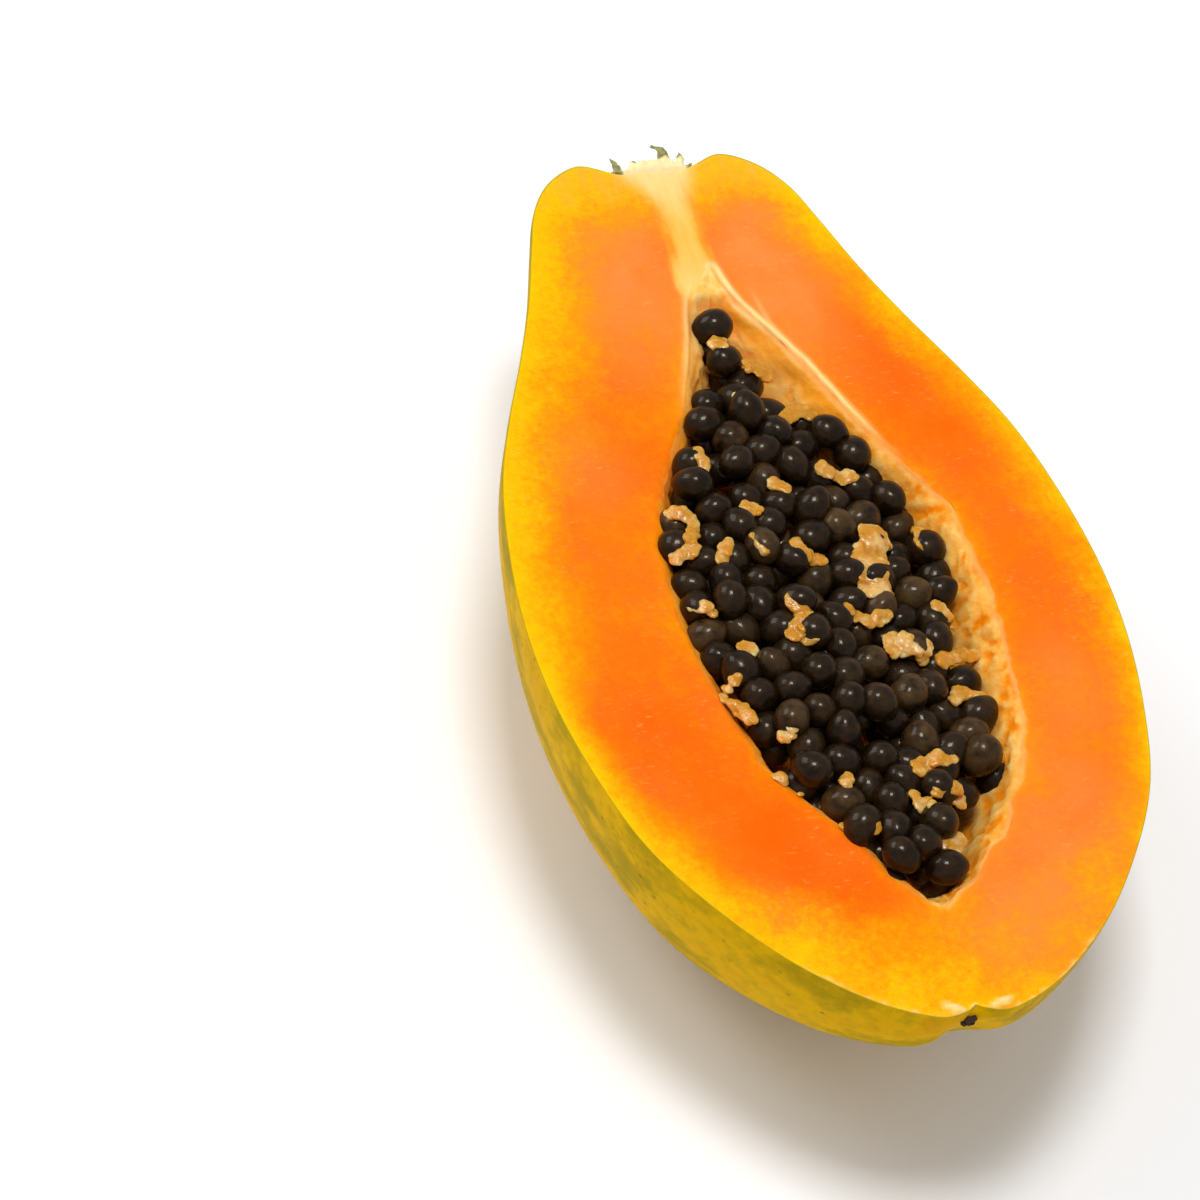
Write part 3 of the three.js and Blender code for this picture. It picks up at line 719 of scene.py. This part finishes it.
def layOutSeeds():
    draw = randomFrom(heap["draw"])
    seeds = []
    row, line = 0, heapStart
    while line <= heapEnd:
        left, right = heapLeft(line), heapRight(line)
        count = 1 + math.floor((right - left) / heap["spacing"] - (0.3 if row % 2 else 0) + 0.5)
        for k in range(count):
            share = k / (count - 1) if count > 1 else 0.5
            seed = {"along": line + heap["jitter"] * (2 * draw() - 1)}
            seed["across"] = left + (right - left) * share + heap["jitter"] * (2 * draw() - 1)
            seed["lift"] = heap["lift"] - (heap["lift"] + heap["sink"]) * draw()
            seed["turn"] = 2 * math.pi * draw()
            seed["tilt"] = seedSize["tilt"] * (2 * draw() - 1)
            seed["size"] = seedSize["smallest"] + seedSize["range"] * draw()
            heldInHeap(seed)
            seeds.append(seed)
        row += 1
        line += heap["rows"] * (1 + heap["sparser"] * (1 - eased(line, heapStart, heapStart + heap["sparseLength"])))
    for _ in range(heap["rounds"]):
        for i, a in enumerate(seeds):
            for b in seeds[i + 1:]:
                dx, dy, dz = (b[key] - a[key] for key in ("across", "along", "height"))
                apart = math.sqrt(dx * dx + dy * dy + dz * dz)
                if apart >= heap["gap"]:
                    continue
                push = (heap["gap"] - apart) / 2 / max(0.5, math.sqrt(dx * dx + dy * dy))
                a["across"] -= dx * push
                a["along"] -= dy * push
                b["across"] += dx * push
                b["along"] += dy * push
        for seed in seeds:
            heldInHeap(seed)
    return seeds


def seedShape(seed, number, rings, segments):
    # An egg, dented a little by noise, with a small point at one end.
    half = [seedSize["long"] * seed["size"] / 2] + [seedSize["across"] * seed["size"] / 2] * 2
    turned = Matrix.Rotation(seed["turn"], 3, "Z") @ Matrix.Rotation(seed["tilt"], 3, "Y")
    points = []
    for i in range(rings + 1):
        lean = math.pi * i / rings
        count = 1 if i in (0, rings) else segments
        for j in range(count):
            spin = 2 * math.pi * j / segments
            axis, out = math.cos(lean), math.sin(lean)
            out *= 1 - 0.07 * axis
            dent = 1 + 0.035 * rough(axis * 3 + number * 7, out * math.cos(spin) * 3, out * math.sin(spin) * 3, 2.4, 2)
            tip = 0.05 * max(0, axis - 0.86) / 0.14
            local = Vector((
                half[0] * axis * (dent + tip),
                half[1] * out * math.cos(spin) * dent,
                half[2] * out * math.sin(spin) * dent,
            ))
            x, y, z = turned @ local
            points.append((seed["across"] + x, seed["along"] - y, seed["height"] + z))
    return points


def eggFaces(start, rings, segments):
    faces = []
    ring = lambda i: [start] if i == 0 else ([start + 1 + (rings - 1) * segments] if i == rings else
                      list(range(start + 1 + (i - 1) * segments, start + 1 + i * segments)))
    for i in range(rings):
        upper, lower = ring(i), ring(i + 1)
        for j in range(segments):
            k = (j + 1) % segments
            if len(upper) == 1:
                faces.append((upper[0], lower[j], lower[k]))
            elif len(lower) == 1:
                faces.append((upper[k], upper[j], lower[0]))
            else:
                faces.append((upper[j], lower[j], lower[k], upper[k]))
    return faces


def buildSeeds(seeds):
    draw = randomFrom(901)
    lower = []
    for seed in seeds:
        under = dict(seed)
        under["across"] += 2.9 * (2 * draw() - 1)
        under["along"] += 2.9 * (2 * draw() - 1)
        under["height"] -= 3.6 + 0.9 * draw()
        under["turn"] += 1.3
        lower.append(under)
    points, faces, coats = [], [], []
    for number, seed in enumerate(seeds + lower):
        top = number < len(seeds)
        rings, segments = (seedSize["rings"], seedSize["segments"]) if top else (9, 12)
        made = seedShape(seed, number, rings, segments)
        faces += eggFaces(len(points), rings, segments)
        points += made
        thick = draw()
        coats += [eased(thick, 0.55, 1.0)] * len(made)
    mesh = bpy.data.meshes.new("seedHeap")
    mesh.from_pydata([inRow(p) for p in points], [], faces)
    mesh.attributes.new("coat", "FLOAT", "POINT").data.foreach_set("value", coats)
    return mesh


seeds = layOutSeeds()
seedMesh = buildSeeds(seeds)
addPiece("seedHeap", seedMesh, [wetSeed()], "seed", "seeds", angle=80)
print("papaya:", len(seeds), "seeds on top,", len(seedMesh.polygons), "faces")


# Soft shapes that grew or were pressed together: blobs fused into one skin

def blob(work, place, sizes, turn=0.0, lean=0.0):
    # An egg at a place, with its half sizes across, along and up.
    matrix = Matrix.Translation(inRow(place)) @ Matrix.Rotation(turn, 4, "Z") @ Matrix.Rotation(lean, 4, "Y")
    matrix @= Matrix.Diagonal(Vector(sizes) * mm).to_4x4()
    bmesh.ops.create_icosphere(work, subdivisions=2, radius=1, matrix=matrix)


def horn(work, foot, tip, bend, radius, thinness=0.6):
    # A torn point: blobs that get smaller along a bent line.
    steps = 7
    foot, tip, bend = Vector(foot), Vector(tip), Vector(bend)
    for k in range(steps + 1):
        t = k / steps
        size = radius * (1 - 0.78 * t)
        blob(work, foot.lerp(tip, t) + bend * 4 * t * (1 - t), (size, size, size * thinness))


def fused(name, work, voxel, ragged, size, rounds=2):
    # One closed skin round all blobs, roughened by noise.
    rawMesh = bpy.data.meshes.new(name)
    work.to_mesh(rawMesh)
    work.free()
    raw = bpy.data.objects.new(name, rawMesh)
    bpy.context.scene.collection.objects.link(raw)
    remesh = raw.modifiers.new("skin", "REMESH")
    remesh.mode = "VOXEL"
    remesh.voxel_size = voxel * mm
    smooth = raw.modifiers.new("soft", "SMOOTH")
    smooth.factor, smooth.iterations = 0.5, rounds
    made = bpy.data.meshes.new_from_object(raw.evaluated_get(bpy.context.evaluated_depsgraph_get()))
    bpy.data.objects.remove(raw)
    bpy.data.meshes.remove(rawMesh)
    made.name = name
    places = [(vertex.co.copy(), vertex.normal.copy()) for vertex in made.vertices]
    for vertex, (place, normal) in zip(made.vertices, places):
        vertex.co = place + normal * ragged * mm * rough(*(place / mm), size, 3)
    return made


def inFruit(point):
    # Back from the row's frame: across, along, height
    x, y, z = point / mm
    return x, stemEnd - y, z - faceHeight


def setMark(mesh, name, values):
    mesh.attributes.new(name, "FLOAT", "POINT").data.foreach_set("value", values)


# Torn pulp lies over the seeds. The first eight pieces are solids of their own.
pulp = {
    # ([(across, along), ...] down its middle, width, soaked)
    "pieces": [
        ([(13.5, 77), (11.5, 80.5), (9.5, 85), (9.5, 90)], 4.7, 0.15),
        ([(8, 98), (12, 99.5), (14, 100.5)], 3.6, 0.15),
        ([(8, 64.5), (11, 66), (13.5, 66)], 1.7, 0.15),
        ([(-6.5, 90), (-5, 92), (-5, 94), (-8, 97)], 2.5, 0.6),
        ([(-1.5, 79.5), (-1.5, 82), (2.5, 82.5)], 2.1, 0.45),
        ([(4, 123), (7, 121), (11, 121)], 2.7, 0.45),
        ([(2.5, 126), (3, 129), (6.5, 126.5), (8.5, 126), (10, 128.5)], 1.8, 0.4),
        ([(-10.5, 130), (-8, 130.5), (-5.5, 132)], 2.0, 0.85),
    ],
    "scraps": [
        ([(3, 92), (6, 94), (10, 93)], 2.1, 0.4),
        ([(-5, 95), (-5, 98)], 2.4, 0.35),
        ([(-1, 67), (1, 69)], 2.2, 0.35),
        ([(19, 91), (22, 94)], 2.3, 0.1),
        ([(16, 102), (19, 100), (24, 99)], 2.2, 0.25),
        ([(22, 75), (21, 80)], 1.8, 0.25),
        ([(16, 109), (18, 107), (22, 108)], 2.0, 0.2),
        ([(16, 119), (21, 119)], 2.3, 0.35),
        ([(5, 136), (8, 134)], 2.2, 0.1),
        ([(-7, 122), (-8, 124)], 1.6, 0.1),
        ([(-12, 60), (-11, 64)], 1.8, 0.1),
        ([(-19, 70), (-16, 73), (-18, 77)], 1.8, 0.6),
        ([(-17, 78), (-21, 79)], 2.0, 0.2),
        ([(-6, 71), (-6, 73)], 2.4, 0.7),
        ([(-8, 78), (-7, 81)], 2.0, 0.3),
        ([(-12, 78), (-14, 81)], 1.8, 0.4),
        ([(-21, 88), (-18, 90)], 2.0, 0.5),
        ([(-22, 105), (-18, 102)], 1.6, 0.55),
        ([(-20, 106), (-18, 110)], 1.7, 0.1),
        ([(-16, 97), (-14, 98)], 1.5, 0.5),
        ([(-19, 120), (-16, 120)], 2.0, 0.1),
        ([(-16, 122), (-14, 125)], 1.5, 0.25),
        ([(-15, 114), (-13, 113)], 1.5, 0.7),
        ([(-1, 38), (0, 40)], 2.2, 0.1),
        ([(-2, 51), (0, 52)], 2.2, 0.15),
        ([(5, 55), (8, 53), (12, 54)], 2.3, 0.15),
        ([(3, 43), (6, 46)], 2.4, 0.1),
    ],
    "voxel": 0.2, "ragged": 0.12, "lump": 1.8, "smooth": 9,
    "step": 0.6, "blob": 0.85, "thickness": 0.34, "wider": 1.2,
    "rise": 2.1, "sunk": 0.5,   # over the seeds' middles, and how much lower the scraps lie
}
seedTops = KDTree(len(seeds))
for number, seed in enumerate(seeds):
    seedTops.insert((seed["across"], seed["along"], 0), number)
seedTops.balance()


def heapTopAt(across, along):
    # Height of the seeds' tops under a place, and no deeper than a seed's middle between them.
    top = heapHeight(across, min(heapEnd, max(heapStart, along))) - 0.4
    for _, number, apart in seedTops.find_range((across, along, 0), seedSize["across"] / 2):
        radius = seedSize["across"] * seeds[number]["size"] / 2
        top = max(top, seeds[number]["height"] + math.sqrt(max(0, radius * radius - apart * apart)))
    return top


def drapedAt(across, along, rise):
    # Half lying on the seeds, half level between them, so that the highest seeds stand through.
    level = heapHeight(across, min(heapEnd, max(heapStart, along))) + rise
    room = halfWidth(along) - abs(across - middleShift(along))
    return min(0.8 * max(0, room) - 0.1, 0.5 * level + 0.5 * min(level + 1.2, heapTopAt(across, along)))


def shred(work, draw, path, width, rise):
    # A torn flap: flat blobs side by side along a bent line, lying on what is under it.
    line = drawnThrough(path, 12 * (len(path) - 1))
    length = sum(math.dist(a, b) for a, b in zip(line, line[1:]))
    count = max(2, round(length / pulp["step"]))
    phase = 20 * draw()
    for k in range(count + 1):
        share = k / count
        i = min(round(share * (len(line) - 1)), len(line) - 2)
        dx, dy = line[i + 1][0] - line[i][0], line[i + 1][1] - line[i][1]
        size = math.hypot(dx, dy)
        dx, dy = dx / size, dy / size
        half = width / 2 * pulp["wider"] * (0.9 + 0.5 * rough(share * length, phase, 0, 2.4, 2))
        half = max(0.05, half * (1 - 0.4 * (2 * share - 1) ** 4) - pulp["blob"] * 0.6)
        across = max(1, round(2 * half / pulp["step"]))
        for j in range(across + 1):
            w = half * (2 * j / across - 1) + 0.2 * (2 * draw() - 1)
            x, y = line[i][0] - dy * w, line[i][1] + dx * w
            size = pulp["blob"] * (0.8 + 0.45 * draw())
            if halfWidth(y) - abs(x - middleShift(y)) < -0.5:
                continue
            spot = (x, y, drapedAt(x, y, rise) + 0.15 * draw())
            blob(work, spot, (size * 1.1, size * 0.9, size * pulp["thickness"]), 3 * draw(), 0.3 * (2 * draw() - 1))


tissue = tornTissue()
pulpDraw = randomFrom(77)
for number, (path, width, soaked) in enumerate(pulp["pieces"], 1):
    work = bmesh.new()
    shred(work, pulpDraw, path, width, pulp["rise"])
    mesh = fused("pulpShred", work, pulp["voxel"], pulp["ragged"], pulp["lump"], pulp["smooth"])
    setMark(mesh, "soaked", [soaked] * len(mesh.vertices))
    addPiece(f"pulpShred_{number}", mesh, [tissue], "pulp", f"torn_pulp_{number}", angle=80)
work = bmesh.new()
for path, width, soaked in pulp["scraps"]:
    shred(work, pulpDraw, path, width, pulp["rise"] - pulp["sunk"])
mesh = fused("pulpScraps", work, pulp["voxel"], pulp["ragged"], pulp["lump"], pulp["smooth"])
scrapPoints = [(*point, number) for number, (path, *rest) in enumerate(pulp["scraps"]) for point in path]
scrapTree = KDTree(len(scrapPoints))
for across, along, number in scrapPoints:
    scrapTree.insert((across, along, 0), number)
scrapTree.balance()
nearest = [scrapPoints[scrapTree.find((*inFruit(vertex.co)[:2], 0))[1]][-1] for vertex in mesh.vertices]
setMark(mesh, "soaked", [pulp["scraps"][number][-1] for number in nearest])
addPiece("pulpScraps", mesh, [tissue], "pulp", angle=80)
print("papaya:", len(pulp["pieces"]), "shreds of torn pulp and", len(pulp["scraps"]), "scraps")


# The stalk's stub: a low torn dome, cut through with the fruit, with dry scales and torn tips
stub = {
    "dome": (6.1, 3.2, 5.6),        # half sizes across, along, down
    "place": (0.9, 3.4, -0.3),
    "level": -0.1,                  # its cut face, just under the flesh's
    "tips": [                       # (foot, tip, bend, radius)
        ((2.9, 1.0, -1.3), (1.7, -2.7, -0.6), (0.7, -0.4, 0), 1.5),
        ((5.0, 1.6, -0.9), (5.9, 0.1, -0.5), (0.3, 0, 0), 0.8),
        ((6.2, 2.4, -0.9), (7.4, 1.3, -0.6), (0.2, -0.2, 0), 0.7),
        ((-1.9, 1.6, -0.9), (-2.7, 0.1, -0.5), (-0.3, 0, 0), 0.8),
        ((-4.6, 2.8, -0.8), (-6.8, 2.3, -0.4), (0, -0.4, 0), 0.55),
        ((-0.6, -0.2, -3.2), (-1.0, -2.0, -3.6), (0, 0, 0), 1.0),
    ],
    "lumps": [(-2.4, 2.0, 1.4), (-0.4, 1.3, 1.5), (1.7, 1.2, 1.6), (3.6, 1.7, 1.4), (5.2, 2.4, 1.2)],
    "scales": 9,
    "voxel": 0.22, "ragged": 0.4, "lump": 1.5,
}


def buildStub():
    work = bmesh.new()
    blob(work, stub["place"], stub["dome"])
    for across, along, size in stub["lumps"]:
        blob(work, (across, along, -0.9), (size, size * 0.8, 1.4))
    draw = randomFrom(5)
    for foot, tip, bend, radius in stub["tips"]:
        horn(work, foot, tip, bend, radius)
    for k in range(stub["scales"]):
        turn = math.pi * (k + 0.5) / stub["scales"]
        ring = 0.86 * stub["dome"][0]
        foot = (ring * math.cos(turn), 1.8, -0.82 * ring * math.sin(turn))
        tip = (foot[0] * 1.16, -0.4 - 1.0 * draw(), foot[2] * 1.16)
        horn(work, foot, tip, (0, 0, 0), 0.9)
    cut = [*work.verts, *work.edges, *work.faces]
    level = inRow((0, 0, stub["level"]))
    bmesh.ops.bisect_plane(work, geom=cut, plane_co=level, plane_no=(0, 0, 1), clear_outer=True)
    bmesh.ops.holes_fill(work, edges=[edge for edge in work.edges if edge.is_boundary])
    mesh = fused("stalkStub", work, stub["voxel"], stub["ragged"], stub["lump"])
    outer = []
    for vertex in mesh.vertices:
        across, along, height = inFruit(vertex.co)
        vertex.co = inRow((across, along, min(height, -0.05 - 0.6 * eased(along, 1.6, 3.2))))
        dry = max(eased(abs(across - 0.6), 4.6, 6.2), eased(-along, -0.9, 0.9), eased(-height, 0.8, 2.6) * 0.6)
        outer.append(dry)
    setMark(mesh, "outer", outer)
    return mesh


addPiece("stalkStub", buildStub(), [tornStalk()], "stalk", "stalk_stub")

# The dried end of the flower, a four-lobed crumb in its dimple
scar = {"place": (-0.9, 164.1, -2.3), "ring": 0.8, "lobes": 4, "size": 0.62, "voxel": 0.12}


def buildScar():
    work = bmesh.new()
    x, y, z = scar["place"]
    blob(work, scar["place"], (0.7, 0.6, 0.7))
    for k in range(scar["lobes"]):
        turn = 2 * math.pi * (k + 0.4) / scar["lobes"]
        spot = (x + scar["ring"] * math.cos(turn), y + 0.2, z + scar["ring"] * math.sin(turn))
        blob(work, spot, (scar["size"], 0.5, scar["size"]))
    return fused("flowerScar", work, scar["voxel"], 0.22, 0.6)


addPiece("flowerScar", buildScar(), [driedScar()], "scar", "blossom_scar")
print("papaya: stalk stub and flower scar")


# Studio: a pale floor, soft light from above and beside the camera, white surroundings

view = {
    "azimuth": 35.34,           # degrees from the row's -Y towards -X
    "elevation": 49.42,
    "roll": 21.81,
    "distance": 990,            # mm, from the middle of the cut face
    "faceAlong": 82.5,
    "aside": 1.818, "aloft": -0.289,    # degrees that the camera looks away from that point
    "lens": 195.02, "sensor": 36,
}


def addCamera():
    turned = Matrix.Rotation(math.radians(-view["azimuth"]), 4, "Z")
    turned @= Matrix.Rotation(math.radians(90 - view["elevation"]), 4, "X")
    turned @= Matrix.Rotation(math.radians(view["roll"]), 4, "Z")
    aimed = Matrix.Rotation(math.radians(view["aside"]), 4, "Y")
    aimed @= Matrix.Rotation(math.radians(view["aloft"]), 4, "X")
    target = inRow((0, view["faceAlong"], 0))
    place = target + turned.to_3x3() @ Vector((0, 0, view["distance"] * mm))
    camera = bpy.data.objects.new("camera", bpy.data.cameras.new("camera"))
    camera.data.lens = view["lens"]
    camera.data.sensor_width = view["sensor"]
    camera.matrix_world = Matrix.Translation(place) @ turned @ aimed
    bpy.context.scene.collection.objects.link(camera)
    bpy.context.scene.camera = camera
    return turned.to_3x3(), target


def addLight(name, axes, target, towards, size, power, colour="FFFFFF"):
    # towards is in the camera's axes: right, up, back, in millimetres from the fruit.
    lamp = bpy.data.lights.new(name, "AREA")
    lamp.shape = "RECTANGLE"
    lamp.size, lamp.size_y = (side * mm for side in size)
    lamp.energy = power
    lamp.color = linear(colour)[:3]
    light = bpy.data.objects.new(name, lamp)
    place = target + axes @ (Vector(towards) * mm)
    light.matrix_world = Matrix.Translation(place) @ (target - place).to_track_quat("-Z", "Y").to_matrix().to_4x4()
    bpy.context.scene.collection.objects.link(light)


axes, target = addCamera()
addLight("topSoftbox", axes, target, (150, 930, 1170), (390, 390), 12.6)
addLight("leftSoftbox", axes, target, (-840, 1110, 570), (780, 630), 6.8)

world = bpy.data.worlds.new("paleStudio")
bpy.context.scene.world = world
world.use_nodes = True
world.node_tree.nodes["Background"].inputs["Color"].default_value = linear("FFFFFF")
world.node_tree.nodes["Background"].inputs["Strength"].default_value = 0.47
bpy.context.scene.view_settings.view_transform = "Standard"

floorMesh = bpy.data.meshes.new("floor")
reach = 3.0
floorMesh.from_pydata([(-reach, -reach, 0), (reach, -reach, 0), (reach, reach, 0), (-reach, reach, 0)], [], [(0, 1, 2, 3)])
floorPaint, floorTree, floorShader, floorPlace = newMaterial("studioFloorMatt")
floorShader.inputs["Base Color"].default_value = linear("FBFCFF")
floorShader.inputs["Roughness"].default_value = 0.8
floorMesh.materials.append(floorPaint)
floor = bpy.data.objects.new("floor", floorMesh)
bpy.context.scene.collection.objects.link(floor)
print("papaya: camera, lights and floor")
